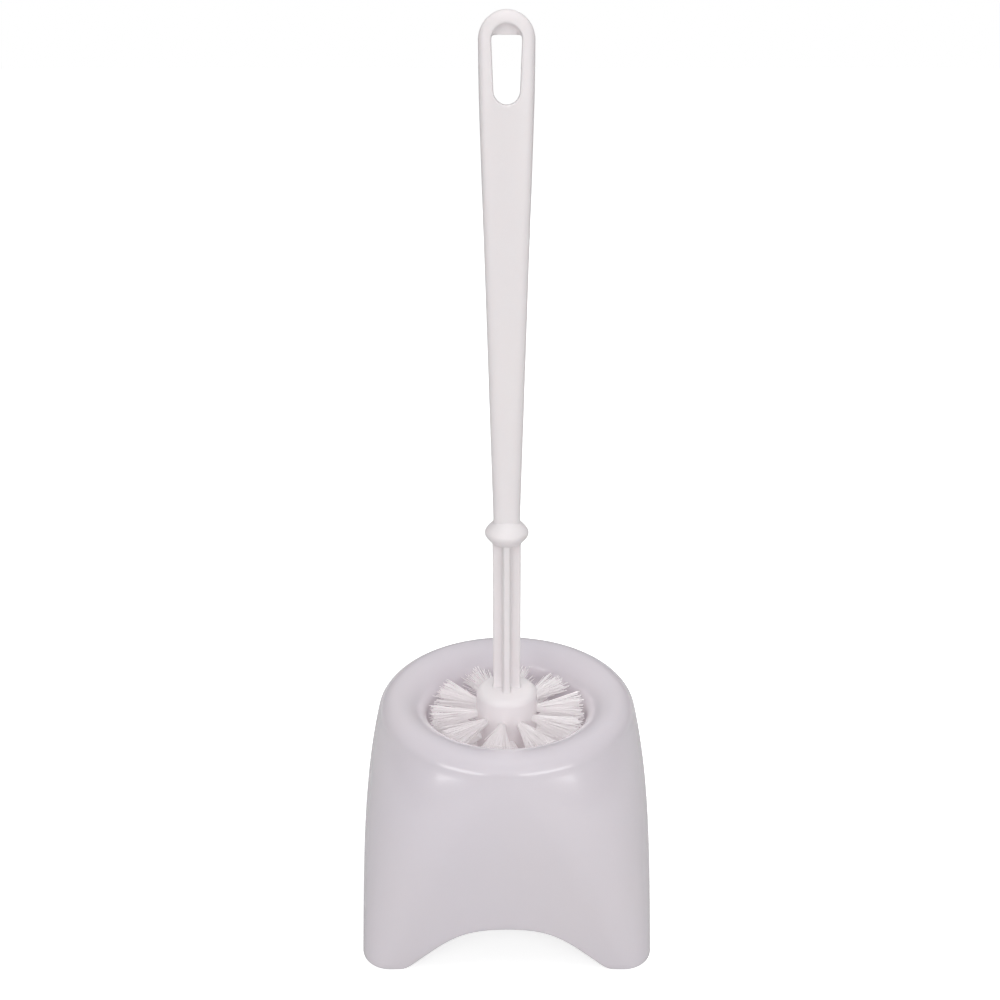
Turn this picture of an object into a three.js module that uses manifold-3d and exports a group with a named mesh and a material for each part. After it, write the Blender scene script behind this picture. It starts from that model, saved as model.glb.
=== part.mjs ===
// Toilet brush holder with its brush. Millimetres, +Z up, origin under the holder's centre, front at -Y.
import * as THREE from 'three';
import { mergeVertices } from 'three/addons/utils/BufferGeometryUtils.js';
import Module from 'manifold-3d';

const wasm = await Module();
wasm.setup();

// ---- overall sizes ----
const OVERALL_HEIGHT = 390;
const HOLDER_HEIGHT = 102;
const BASE_WIDTH = 129;

// ---- holder: skirt, rim and drip cup, one moulding ----
const WALL = 2.4;
const BASE_CORNER_R = 13;
const RIM_CREST_R = 50.4;
const SHOULDER_ROUND_R = 8.6;
const SHOULDER_START_DEG = 13;
const SIDE_CURVE_POWER = 4;
const OPENING_R = 36.8;
const RIM_INNER_DROP = 12;
const CUP_DRAFT = 1.6;
const CUP_FLOOR_R = OPENING_R - CUP_DRAFT;
const CUP_FLOOR_Z = 23.5;
const CUP_FLOOR_FILLET = 6;
const ARCH_HEIGHT = 22;
const ARCH_TOP_HALF = 11;
const ARCH_FOOT_HALF = 44.5;
const ARCH_EASE = 0.17;
const ARCH_CUT_INNER = 46;
const HOLDER_SEGMENTS = 56;

// ---- brush moulding: grip, collar, stem and core ----
const GRIP_TOP_WIDTH = 21.3;
const GRIP_BOTTOM_WIDTH = 11.2;
const GRIP_STRAIGHT_LENGTH = 28;
const GRIP_DEPTH = 8.8;
const GRIP_EDGE_R = 2.6;
const HANG_HOLE_WIDTH = 11.6;
const HANG_HOLE_LOW_WIDTH = 10.4;
const HANG_HOLE_LENGTH = 29.6;
const HANG_HOLE_MARGIN = 4.2;
const HANG_ROOF_RISE = 4.4;
const COLLAR_D = 19;
const COLLAR_RISE = 7.4;
const COLLAR_DROP = 4.9;
const COLLAR_POWER = 1.3;
const COLLAR_Z = 181.7;
const STEM_WIDTH = 12.4;
const STEM_RIB = 3;
const STEM_WEB_R = 2.9;
const CORE_D = 27.8;
const CORE_TOP_Z = 105.5;
const CORE_SHOULDER_R = 3.4;
const CORE_BOTTOM_Z = 42;
const CORE_END_HEIGHT = 8;
const PART_SEGMENTS = 40;

// ---- bristle tufts and their holes ----
const RINGS = 5;
const TUFTS_PER_RING = 10;
const TOP_RING_Z = 92;
const RING_PITCH = 9.5;
const RING_PHASE_DEG = -9;
const BRISTLE_GAP = 0.5;
const HEAD_D = 2 * (CUP_FLOOR_R - BRISTLE_GAP);
const TUFT_ROOT_R = 1.6;
const TUFT_TIP_R = 5;
const TUFT_HOLE_DEPTH = 4;
const FIT_GAP = 0.3;
const END_TUFTS = 6;
const END_TUFT_TILT_DEG = 38;
const END_TUFT_START_R = 8;
const END_TIP_R = 4;
const TUFT_SEGMENTS = 6;

const radians = THREE.MathUtils.degToRad;

function plastic(name, colour, roughness) {
  const material = new THREE.MeshStandardMaterial({ color: colour, roughness, metalness: 0 });
  material.name = name;
  return material;
}

function namedMesh(name, geometry, material) {
  const mesh = new THREE.Mesh(geometry, material);
  mesh.name = name;
  return mesh;
}

function toManifold(geometry) {
  const bare = geometry.clone();
  bare.deleteAttribute('normal');
  bare.deleteAttribute('uv');
  const merged = mergeVertices(bare, 1e-4);
  const solid = new wasm.Manifold(new wasm.Mesh({
    numProp: 3,
    vertProperties: new Float32Array(merged.attributes.position.array),
    triVerts: new Uint32Array(merged.index.array),
  }));
  return solid;
}

function toGeometry(solid) {
  const mesh = solid.getMesh();
  const geometry = new THREE.BufferGeometry();
  geometry.setAttribute('position', new THREE.BufferAttribute(new Float32Array(mesh.vertProperties), 3));
  geometry.setIndex(new THREE.BufferAttribute(new Uint32Array(mesh.triVerts), 1));
  geometry.computeVertexNormals();
  return geometry;
}

// ---- holder ----

// One profile station: half-width a, corner radius c of the rounded-square section, and height z.
function station(a, c, z) {
  return { a, c: Math.min(a, c), z };
}

function skirtOuter(z, topZ, topA) {
  const t = z / topZ;
  const a = BASE_WIDTH / 2 + (topA - BASE_WIDTH / 2) * Math.pow(t, SIDE_CURVE_POWER);
  const c = BASE_CORNER_R + (topA - BASE_CORNER_R) * t;
  return station(a, c, z);
}

function holderStations() {
  const crestZ = HOLDER_HEIGHT - SHOULDER_ROUND_R;
  const start = radians(SHOULDER_START_DEG);
  const topZ = crestZ + SHOULDER_ROUND_R * Math.sin(start);
  const topA = RIM_CREST_R + SHOULDER_ROUND_R * Math.cos(start);
  const lipZ = HOLDER_HEIGHT - RIM_INNER_DROP;
  const lipA = RIM_CREST_R - OPENING_R;
  const list = [];
  const round = (a, z) => list.push(station(a, a, z));
  // cup floor and inside wall, upwards
  round(0, CUP_FLOOR_Z);
  for (const step of [0, 30, 60, 90]) {
    const q = radians(step);
    round(CUP_FLOOR_R - CUP_FLOOR_FILLET * (1 - Math.sin(q)), CUP_FLOOR_Z + CUP_FLOOR_FILLET * (1 - Math.cos(q)));
  }
  // over the rim: inner roll, crest, shoulder
  for (const step of [0, 18, 36, 54, 72, 90]) {
    const q = radians(step);
    round(RIM_CREST_R - lipA * Math.cos(q), lipZ + RIM_INNER_DROP * Math.sin(q));
  }
  for (const step of [68, 48, 30]) {
    const q = radians(step);
    round(RIM_CREST_R + SHOULDER_ROUND_R * Math.cos(q), crestZ + SHOULDER_ROUND_R * Math.sin(q));
  }
  // down the outside of the skirt
  const levels = [1, 0.93, 0.85, 0.76, 0.66, 0.54, 0.42, 0.28, 0.14, 0];
  for (const t of levels) list.push(skirtOuter(t * topZ, topZ, topA));
  // up the inside of the skirt
  for (const t of [...levels].reverse()) {
    const s = skirtOuter(t * topZ, topZ, topA);
    list.push(station(s.a - WALL, Math.max(s.c - WALL, 2), s.z));
  }
  // under the rim
  for (const step of [30, 48, 68, 90]) {
    const q = radians(step);
    const r = SHOULDER_ROUND_R - WALL;
    round(RIM_CREST_R + r * Math.cos(q), crestZ + r * Math.sin(q));
  }
  for (const step of [66, 40, 0]) {
    const q = radians(step);
    round(RIM_CREST_R - (lipA - WALL) * Math.cos(q), lipZ + (RIM_INNER_DROP - WALL) * Math.sin(q));
  }
  // down the outside of the cup and across its underside
  for (const step of [90, 60, 30, 0]) {
    const q = radians(step);
    const r = CUP_FLOOR_FILLET + WALL;
    const side = CUP_FLOOR_R + WALL - r * (1 - Math.sin(q));
    round(side, CUP_FLOOR_Z - WALL + r * (1 - Math.cos(q)));
  }
  round(0, CUP_FLOOR_Z - WALL);
  return list.reverse();
}

// A lathe skin whose round sections are drawn out into rounded squares towards the foot.
function roundedSquareLathe(stations, segments) {
  const profile = stations.map((s) => new THREE.Vector2(s.a, s.z));
  const skin = new THREE.LatheGeometry(profile, segments);
  const position = skin.attributes.position;
  for (let i = 0; i <= segments; i += 1) {
    const angle = ((i % segments) + 0.5) * 2 * Math.PI / segments;
    const cos = Math.cos(angle);
    const sin = Math.sin(angle);
    for (let j = 0; j < stations.length; j += 1) {
      const s = stations[j];
      const flat = s.a - s.c;
      const x = Math.sign(cos) * flat + s.c * cos;
      const y = Math.sign(sin) * flat + s.c * sin;
      position.setXYZ(i * stations.length + j, x, y, s.z);
    }
  }
  return skin;
}

function archCutter() {
  const outline = new THREE.Shape();
  const below = -5;
  const top = ARCH_HEIGHT;
  const ease = (ARCH_FOOT_HALF - ARCH_TOP_HALF) * ARCH_EASE;
  outline.moveTo(-ARCH_FOOT_HALF - 3.5, below);
  outline.lineTo(ARCH_FOOT_HALF + 3.5, below);
  outline.lineTo(ARCH_FOOT_HALF, 0);
  outline.bezierCurveTo(
    ARCH_TOP_HALF + 2.6 * ease, top - ease, ARCH_TOP_HALF + 1.7 * ease, top, 0, top);
  outline.bezierCurveTo(
    -ARCH_TOP_HALF - 1.7 * ease, top, -ARCH_TOP_HALF - 2.6 * ease, top - ease, -ARCH_FOOT_HALF, 0);
  outline.closePath();
  const reach = BASE_WIDTH / 2 - ARCH_CUT_INNER + 8;
  const prism = new THREE.ExtrudeGeometry(outline, { depth: reach, bevelEnabled: false, curveSegments: 8 });
  prism.rotateX(Math.PI / 2);
  prism.translate(0, -ARCH_CUT_INNER, 0);
  return prism;
}

function holderGeometry() {
  let solid = toManifold(roundedSquareLathe(holderStations(), HOLDER_SEGMENTS));
  for (let side = 0; side < 4; side += 1) {
    const cutter = archCutter();
    cutter.rotateZ(side * Math.PI / 2);
    solid = solid.subtract(toManifold(cutter));
  }
  return toGeometry(solid);
}

// ---- brush moulding ----

function arcPoints(centreZ, r, fromDeg, toDeg, steps) {
  const points = [];
  for (let k = 0; k <= steps; k += 1) {
    const q = radians(fromDeg + (toDeg - fromDeg) * k / steps);
    points.push(new THREE.Vector2(r * Math.cos(q), centreZ + r * Math.sin(q)));
  }
  return points;
}

function gripOutline(inset) {
  const halfTop = GRIP_TOP_WIDTH / 2 - inset;
  const halfBottom = GRIP_BOTTOM_WIDTH / 2 - inset;
  const straightZ = OVERALL_HEIGHT - GRIP_STRAIGHT_LENGTH;
  return new THREE.Shape([
    new THREE.Vector2(-halfBottom, COLLAR_Z),
    new THREE.Vector2(halfBottom, COLLAR_Z),
    new THREE.Vector2(halfTop, straightZ),
    ...arcPoints(OVERALL_HEIGHT - GRIP_TOP_WIDTH / 2, halfTop, 0, 180, 18),
    new THREE.Vector2(-halfTop, straightZ),
  ]);
}

// The hanging hole: its roof is a ridge at mid-depth that rises to both faces.
function hangHoleCutter() {
  const r = HANG_HOLE_WIDTH / 2;
  const lowR = HANG_HOLE_LOW_WIDTH / 2;
  const low = OVERALL_HEIGHT - HANG_HOLE_MARGIN - HANG_HOLE_LENGTH + lowR;
  const high = OVERALL_HEIGHT - HANG_HOLE_MARGIN - HANG_ROOF_RISE - r;
  const outline = new THREE.Shape([
    ...arcPoints(high, r, 0, 180, 12),
    ...arcPoints(low, lowR, 180, 360, 12),
  ]);
  const depth = GRIP_DEPTH + 1;
  const cutter = new THREE.ExtrudeGeometry(outline, { depth, steps: 2, bevelEnabled: false });
  cutter.translate(0, 0, -depth / 2);
  cutter.rotateX(Math.PI / 2);
  const position = cutter.attributes.position;
  for (let i = 0; i < position.count; i += 1) {
    const lift = Math.max(0, position.getZ(i) - high) / r;
    const out = Math.abs(position.getY(i)) / (GRIP_DEPTH / 2);
    position.setZ(i, position.getZ(i) + lift * out * HANG_ROOF_RISE);
  }
  return cutter;
}

function gripGeometry() {
  const grip = new THREE.ExtrudeGeometry(gripOutline(GRIP_EDGE_R), {
    depth: GRIP_DEPTH - 2 * GRIP_EDGE_R,
    bevelThickness: GRIP_EDGE_R,
    bevelSize: GRIP_EDGE_R,
    bevelSegments: 3,
  });
  grip.translate(0, 0, GRIP_EDGE_R - GRIP_DEPTH / 2);
  grip.rotateX(Math.PI / 2);
  return grip;
}

function latheZ(points, segments) {
  const skin = new THREE.LatheGeometry(points.map(([r, z]) => new THREE.Vector2(r, z)), segments);
  skin.rotateX(Math.PI / 2);
  return skin;
}

function collarRadius(z) {
  const share = Math.max(0, 1 - (Math.abs(z) / COLLAR_RISE) ** COLLAR_POWER);
  return COLLAR_D / 2 * share ** (1 / COLLAR_POWER);
}

function collarGeometry() {
  const points = [[0, COLLAR_Z - COLLAR_DROP]];
  for (let step = 0; step <= 6; step += 1) {
    const z = COLLAR_DROP * (step / 6 - 1);
    points.push([collarRadius(z), COLLAR_Z + z]);
  }
  for (let step = 1; step <= 8; step += 1) {
    const z = COLLAR_RISE * step / 8;
    points.push([step === 8 ? 0 : collarRadius(z), COLLAR_Z + z]);
  }
  return latheZ(points, PART_SEGMENTS);
}

function stemGeometry(crossways) {
  const length = COLLAR_Z - CORE_TOP_Z + 6;
  const wide = new THREE.BoxGeometry(crossways ? STEM_RIB : STEM_WIDTH, crossways ? STEM_WIDTH : STEM_RIB, length);
  wide.translate(0, 0, COLLAR_Z - length / 2);
  return wide;
}

function stemWebGeometry() {
  const length = COLLAR_Z - CORE_TOP_Z + 6;
  const web = new THREE.CylinderGeometry(STEM_WEB_R, STEM_WEB_R, length, 12);
  web.rotateX(Math.PI / 2);
  web.translate(0, 0, COLLAR_Z - length / 2);
  return web;
}

function coreEndRadius(z) {
  const depth = (CORE_BOTTOM_Z + CORE_END_HEIGHT - z) / CORE_END_HEIGHT;
  return CORE_D / 2 * Math.sqrt(Math.max(0, 1 - depth * depth));
}

function coreGeometry() {
  const points = [[0, CORE_BOTTOM_Z]];
  for (const step of [15, 30, 45, 60, 75, 90]) {
    const z = CORE_BOTTOM_Z + CORE_END_HEIGHT * (1 - Math.cos(radians(step)));
    points.push([coreEndRadius(z), z]);
  }
  for (const step of [0, 30, 60, 90]) {
    const q = radians(step);
    points.push([
      CORE_D / 2 - CORE_SHOULDER_R * (1 - Math.cos(q)),
      CORE_TOP_Z - 1 - CORE_SHOULDER_R * (1 - Math.sin(q)),
    ]);
  }
  points.push([0, CORE_TOP_Z]);
  return latheZ(points, PART_SEGMENTS);
}

// Where each tuft leaves the core and which way it points.
function tuftPlaces() {
  const places = [];
  for (let ring = 0; ring < RINGS; ring += 1) {
    const phase = ring % 2 === 0 ? RING_PHASE_DEG : -RING_PHASE_DEG;
    for (let k = 0; k < TUFTS_PER_RING; k += 1) {
      const turn = radians(phase + k * 360 / TUFTS_PER_RING);
      const away = new THREE.Vector3(Math.sin(turn), -Math.cos(turn), 0);
      const root = away.clone().multiplyScalar(CORE_D / 2);
      root.z = TOP_RING_Z - ring * RING_PITCH;
      const name = `tuft_ring${ring + 1}_${String(k + 1).padStart(2, '0')}`;
      places.push({ name, root, away, length: (HEAD_D - CORE_D) / 2, tip: TUFT_TIP_R });
    }
  }
  const tilt = radians(END_TUFT_TILT_DEG);
  const startDepth = 1 - Math.pow(2 * END_TUFT_START_R / CORE_D, 2);
  const startZ = CORE_BOTTOM_Z + CORE_END_HEIGHT * (1 - Math.sqrt(startDepth));
  const floor = CUP_FLOOR_Z + FIT_GAP;
  const slant = (startZ - floor - END_TIP_R * Math.sin(tilt)) / Math.cos(tilt);
  for (let k = 0; k < END_TUFTS; k += 1) {
    const turn = radians((k + 0.5) * 360 / END_TUFTS);
    const out = new THREE.Vector3(Math.sin(turn), -Math.cos(turn), 0);
    const away = out.clone().multiplyScalar(Math.sin(tilt));
    away.z = -Math.cos(tilt);
    const root = out.clone().multiplyScalar(END_TUFT_START_R);
    root.z = startZ;
    places.push({ name: `tuft_end_${String(k + 1).padStart(2, '0')}`, root, away, length: slant, tip: END_TIP_R });
  }
  const down = new THREE.Vector3(0, 0, -1);
  const middle = new THREE.Vector3(0, 0, CORE_BOTTOM_Z);
  places.push({
    name: 'tuft_end_centre', root: middle, away: down, length: CORE_BOTTOM_Z - floor, tip: END_TIP_R,
  });
  return places;
}

function aimFrom(place) {
  const turn = new THREE.Quaternion().setFromUnitVectors(new THREE.Vector3(0, 1, 0), place.away);
  return new THREE.Matrix4().compose(place.root, turn, new THREE.Vector3(1, 1, 1));
}

function tuftHoleCutter(place) {
  const r = TUFT_ROOT_R + FIT_GAP;
  const cutter = new THREE.CylinderGeometry(r, r, 2 * TUFT_HOLE_DEPTH, TUFT_SEGMENTS);
  cutter.applyMatrix4(aimFrom(place));
  return cutter;
}

function tuftGeometry(place) {
  const start = FIT_GAP - TUFT_HOLE_DEPTH;
  const shape = [
    [0, start],
    [TUFT_ROOT_R, start],
    [TUFT_ROOT_R, 1],
    [place.tip, place.length - 1.5],
    [place.tip, place.length],
    [0, place.length],
  ];
  return new THREE.LatheGeometry(shape.map(([r, y]) => new THREE.Vector2(r, y)), TUFT_SEGMENTS);
}

function brushGeometry(places) {
  const pieces = [
    collarGeometry(), stemGeometry(false), stemGeometry(true), stemWebGeometry(), coreGeometry(),
  ];
  let solid = toManifold(gripGeometry()).subtract(toManifold(hangHoleCutter()));
  for (const piece of pieces) solid = solid.add(toManifold(piece));
  for (const place of places) solid = solid.subtract(toManifold(tuftHoleCutter(place)));
  return toGeometry(solid);
}

// ---- assembly ----

const group = new THREE.Group();
group.name = 'toilet_brush_set';

const holderPlastic = plastic('holder_plastic', 0xe9e7ea, 0.28);
const brushPlastic = plastic('brush_plastic', 0xeeecee, 0.3);
const bristle = plastic('bristle_white', 0xf6f5f4, 0.6);

const places = tuftPlaces();
group.add(namedMesh('holder_shell', holderGeometry(), holderPlastic));

const brush = new THREE.Group();
brush.name = 'brush';
brush.add(namedMesh('brush_handle', brushGeometry(places), brushPlastic));
for (const place of places) {
  const tuft = namedMesh(place.name, tuftGeometry(place), bristle.clone());
  tuft.applyMatrix4(aimFrom(place));
  brush.add(tuft);
}
group.add(brush);

export default group;
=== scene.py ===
"""A toilet brush standing in its open holder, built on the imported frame.

Lengths of the pieces are millimetres. Finishes, lamps, floor and camera are in metres, and
so are the finished meshes.
"""

import logging
import math
from dataclasses import dataclass, field
from enum import Enum
from typing import Sequence

import bmesh
import bpy
import numpy as np
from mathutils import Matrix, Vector


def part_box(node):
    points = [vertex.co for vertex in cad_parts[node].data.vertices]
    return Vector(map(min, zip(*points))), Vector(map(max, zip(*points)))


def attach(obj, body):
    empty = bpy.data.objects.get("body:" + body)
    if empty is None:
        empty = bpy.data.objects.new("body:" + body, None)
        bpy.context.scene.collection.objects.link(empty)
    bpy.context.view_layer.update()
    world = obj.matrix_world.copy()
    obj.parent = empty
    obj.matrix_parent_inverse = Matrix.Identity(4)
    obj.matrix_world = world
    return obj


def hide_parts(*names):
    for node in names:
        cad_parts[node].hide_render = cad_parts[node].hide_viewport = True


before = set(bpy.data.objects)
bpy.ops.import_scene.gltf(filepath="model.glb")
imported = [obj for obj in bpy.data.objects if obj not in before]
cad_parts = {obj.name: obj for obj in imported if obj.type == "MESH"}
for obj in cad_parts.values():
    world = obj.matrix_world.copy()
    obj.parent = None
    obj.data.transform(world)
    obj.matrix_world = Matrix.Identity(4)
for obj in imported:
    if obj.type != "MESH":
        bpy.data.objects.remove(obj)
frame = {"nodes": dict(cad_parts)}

MM = 0.001
FULL_TURN = 2.0 * math.pi
QUARTER_TURN = math.pi / 2.0
SAME_POINT = 1e-7
TINY = 1e-6
LOG = logging.getLogger("toilet_brush_set")


class Body(Enum):
    """The two bodies of the frame that pieces ride on."""

    HOLDER = "holder"
    BRUSH = "brush"


class Slot(Enum):
    """The record's material slots."""

    HOLDER = "holder_plastic"
    BRUSH = "brush_plastic"
    BRISTLE = "bristle_white"


# ---------------------------------------------------------------- finishes


@dataclass(frozen=True)
class MouldedPlastic:
    """Injection-moulded polypropylene: soft gloss, faint flow marks, fine mould grain."""

    name: str
    colour: tuple[float, float, float]
    warm: tuple[float, float, float]
    roughness: float = 0.3
    roughness_swing: float = 0.03
    flow_scale: float = 14.0
    haze_scale: float = 43.4
    grain_scale: float = 900.0
    grain_depth: float = 0.00002
    waviness_scale: float = 38.0
    waviness_depth: float = 0.00006
    subsurface: float = 0.12
    coat: float = 0.55

    def make(self) -> bpy.types.Material:
        """Builds the node material.

        Returns:
            The finished material.
        """
        material, tree, shader, place = new_finish(self.name)
        flow = add_noise(tree, place, self.flow_scale, 1.0, 0.3)
        tint(tree, spread(tree, flow, 0.15, 0.85, 0.0, 1.0), self.colour, self.warm)
        haze = add_noise(tree, place, self.haze_scale, 2.0, 0.4)
        low = self.roughness - self.roughness_swing
        high = self.roughness + self.roughness_swing
        tree.links.new(spread(tree, haze, 0.2, 0.8, low, high), shader.inputs["Roughness"])
        wave = add_noise(tree, place, self.waviness_scale, 2.0, 0.4)
        grain = add_noise(tree, place, self.grain_scale, 2.0, 0.5)
        broad = add_bump(tree, wave, self.waviness_depth, None)
        fine = add_bump(tree, grain, self.grain_depth, broad)
        tree.links.new(fine, shader.inputs["Normal"])
        set_inputs(shader, {
            "Metallic": 0.0,
            "IOR": 1.49,
            "Specular IOR Level": 0.65,
            "Subsurface Weight": self.subsurface,
            "Subsurface Radius": (1.0, 0.85, 0.8),
            "Subsurface Scale": 0.002,
            "Coat Weight": self.coat,
            "Coat Roughness": 0.1,
        })
        return material


@dataclass(frozen=True)
class Filament:
    """Drawn white bristle filament, a little translucent, with a faint painted glow that lightens
    the tufts as if more light reached them.
    """

    name: str
    colour: tuple[float, float, float]
    shade: tuple[float, float, float]
    roughness: float = 0.42
    roughness_swing: float = 0.08
    streak_scale: float = 420.0
    # Strength of the painted glow: the filaments give off light in their own colour, which makes
    # them brighter than the lamps and their translucency alone make them.
    glow: float = 0.13

    def make(self) -> bpy.types.Material:
        """Builds the node material.

        Returns:
            The finished material.
        """
        material, tree, shader, place = new_finish(self.name)
        streak = add_noise(tree, place, self.streak_scale, 3.0, 0.6)
        tint(tree, spread(tree, streak, 0.35, 0.6, 0.0, 1.0), self.shade, self.colour)
        low = self.roughness - self.roughness_swing
        high = self.roughness + self.roughness_swing
        tree.links.new(spread(tree, streak, 0.3, 0.7, low, high), shader.inputs["Roughness"])
        set_inputs(shader, {
            "IOR": 1.5,
            "Subsurface Weight": 0.5,
            "Subsurface Radius": (1.0, 0.95, 0.95),
            "Subsurface Scale": 0.002,
            # Painted glow: faint emission in the filament's own colour that lightens the tufts.
            "Emission Color": (*self.colour, 1.0),
            "Emission Strength": self.glow,
        })
        return material


def new_finish(
    name: str,
) -> tuple[bpy.types.Material, bpy.types.NodeTree, bpy.types.Node, bpy.types.NodeSocket]:
    """Starts a node material.

    Args:
        name: The material's name.

    Returns:
        The material, its node tree, its shader and the object coordinates.
    """
    material = bpy.data.materials.new(name)
    material.use_nodes = True
    tree = material.node_tree
    place = tree.nodes.new("ShaderNodeTexCoord").outputs["Object"]
    return material, tree, tree.nodes["Principled BSDF"], place


def set_inputs(node: bpy.types.Node, values: dict[str, object]) -> None:
    """Sets plain values on a node's own sockets."""
    for title, value in values.items():
        node.inputs[title].default_value = value


def tint(
    tree: bpy.types.NodeTree,
    share: bpy.types.NodeSocket,
    first: tuple[float, float, float],
    second: tuple[float, float, float],
) -> None:
    """Colours a material between two colours.

    Args:
        tree: The material's node tree.
        share: The share of the second colour.
        first: The first colour.
        second: The second colour.
    """
    mix = tree.nodes.new("ShaderNodeMix")
    mix.data_type = "RGBA"
    mix.inputs["A"].default_value = (*first, 1.0)
    mix.inputs["B"].default_value = (*second, 1.0)
    tree.links.new(share, mix.inputs["Factor"])
    tree.links.new(mix.outputs["Result"], tree.nodes["Principled BSDF"].inputs["Base Color"])


def add_noise(
    tree: bpy.types.NodeTree,
    place: bpy.types.NodeSocket,
    scale: float,
    detail: float,
    rough: float,
) -> bpy.types.NodeSocket:
    """Adds a noise texture read at a place.

    Args:
        tree: The material's node tree.
        place: The coordinate socket to read.
        scale: Noise scale, in waves per metre.
        detail: Octaves of detail.
        rough: How strong the finer octaves are.

    Returns:
        The noise factor socket.
    """
    node = tree.nodes.new("ShaderNodeTexNoise")
    set_inputs(node, {"Scale": scale, "Detail": detail, "Roughness": rough})
    tree.links.new(place, node.inputs["Vector"])
    return node.outputs["Fac"]


def spread(
    tree: bpy.types.NodeTree,
    value: bpy.types.NodeSocket,
    low_in: float,
    high_in: float,
    low_out: float,
    high_out: float,
) -> bpy.types.NodeSocket:
    """Maps one range of a value to another, clamped.

    Args:
        tree: The node tree.
        value: The socket to map.
        low_in: Start of the range read.
        high_in: End of the range read.
        low_out: What the start becomes.
        high_out: What the end becomes.

    Returns:
        The mapped socket.
    """
    node = tree.nodes.new("ShaderNodeMapRange")
    set_inputs(node, {
        "From Min": low_in, "From Max": high_in, "To Min": low_out, "To Max": high_out,
    })
    tree.links.new(value, node.inputs["Value"])
    return node.outputs["Result"]


def add_bump(
    tree: bpy.types.NodeTree,
    height: bpy.types.NodeSocket,
    depth: float,
    below: bpy.types.NodeSocket | None,
) -> bpy.types.NodeSocket:
    """Adds a bump of a real depth, on top of another if given.

    Args:
        tree: The node tree.
        height: The height socket.
        depth: Height of the bump, in metres.
        below: The normal socket of the bump underneath, or None.

    Returns:
        The bumped normal socket.
    """
    node = tree.nodes.new("ShaderNodeBump")
    set_inputs(node, {"Distance": depth, "Strength": 1.0})
    tree.links.new(height, node.inputs["Height"])
    if below is not None:
        tree.links.new(below, node.inputs["Normal"])
    return node.outputs["Normal"]


# ---------------------------------------------------------------- mesh helpers


def ease(value: np.ndarray | float) -> np.ndarray | float:
    """Smooth step from 0 to 1 for a value between 0 and 1."""
    t = np.clip(value, 0.0, 1.0)
    return t * t * (3.0 - 2.0 * t)


def new_object(name: str, data: bpy.types.ID) -> bpy.types.Object:
    """Puts a mesh, a light or a camera into the scene.

    Args:
        name: The object's name.
        data: The mesh, light or camera.

    Returns:
        The new object.
    """
    made = bpy.data.objects.new(name, data)
    bpy.context.scene.collection.objects.link(made)
    return made


def bake(piece: bpy.types.Object) -> None:
    """Turns a piece's modifiers into its plain mesh.

    Args:
        piece: The piece.
    """
    graph = bpy.context.evaluated_depsgraph_get()
    mesh = bpy.data.meshes.new_from_object(piece.evaluated_get(graph))
    piece.modifiers.clear()
    piece.data = mesh


def mesh_object(
    name: str, points: np.ndarray, faces: Sequence[Sequence[int]]
) -> bpy.types.Object:
    """Makes a smooth-shaded object from points in millimetres.

    Args:
        name: The piece's name.
        points: Array of points, in millimetres.
        faces: Vertex numbers of each face.

    Returns:
        The new object, with its normals pointing outward.
    """
    mesh = bpy.data.meshes.new(name)
    mesh.from_pydata((np.asarray(points, float) * MM).tolist(), [], [list(f) for f in faces])
    mesh.update()
    shape = bmesh.new()
    shape.from_mesh(mesh)
    bmesh.ops.remove_doubles(shape, verts=shape.verts, dist=SAME_POINT)
    bmesh.ops.recalc_face_normals(shape, faces=shape.faces)
    shape.to_mesh(mesh)
    shape.free()
    mesh.shade_smooth()
    return new_object(name, mesh)


def tube_faces(rows: int, columns: int, start: int = 0) -> list[tuple[int, int, int, int]]:
    """Quads of a grid of rows whose columns close on themselves.

    Args:
        rows: Number of rows.
        columns: Number of columns.
        start: Number of the first vertex.

    Returns:
        The quads.
    """
    quads = []
    for i in range(rows - 1):
        for j in range(columns):
            k = (j + 1) % columns
            a = start + i * columns
            quads.append((a + j, a + k, a + columns + k, a + columns + j))
    return quads


def capped_tube(
    rows: np.ndarray, first: Sequence[float], last: Sequence[float]
) -> tuple[np.ndarray, list]:
    """Closes a stack of rings with a point at each end.

    Args:
        rows: Array of rings, shaped (rows, columns, 3).
        first: The point below the first ring.
        last: The point above the last ring.

    Returns:
        The points and the faces.
    """
    count, columns, _ = rows.shape
    points = np.vstack([rows.reshape(-1, 3), [first], [last]])
    faces: list = tube_faces(count, columns)
    low, high = count * columns, count * columns + 1
    top = (count - 1) * columns
    for j in range(columns):
        k = (j + 1) % columns
        faces.append((low, k, j))
        faces.append((high, top + j, top + k))
    return points, faces


def lathe(profile: Sequence[tuple[float, float]], columns: int) -> tuple[np.ndarray, list]:
    """Turns a profile that starts and ends on the axis.

    Args:
        profile: Radius and height of each point; the first and last are on the axis.
        columns: How many points go round.

    Returns:
        The points and the faces.
    """
    turn = np.linspace(0.0, FULL_TURN, columns, endpoint=False)
    rings = [
        np.stack([r * np.cos(turn), r * np.sin(turn), np.full(columns, z)], 1)
        for r, z in profile[1:-1]
    ]
    first = (0.0, 0.0, profile[0][1])
    last = (0.0, 0.0, profile[-1][1])
    return capped_tube(np.array(rings), first, last)


def arc(
    centre: tuple[float, float], radii: tuple[float, float], start: float, end: float, steps: int
) -> list[tuple[float, float]]:
    """Points on an ellipse arc.

    Args:
        centre: Centre of the ellipse.
        radii: Its two half-axes.
        start: First angle, in degrees.
        end: Last angle, in degrees.
        steps: How many steps lie between them.

    Returns:
        The points, both ends included.
    """
    angles = np.radians(np.linspace(start, end, steps + 1))
    return [
        (centre[0] + radii[0] * math.cos(q), centre[1] + radii[1] * math.sin(q)) for q in angles
    ]


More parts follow.
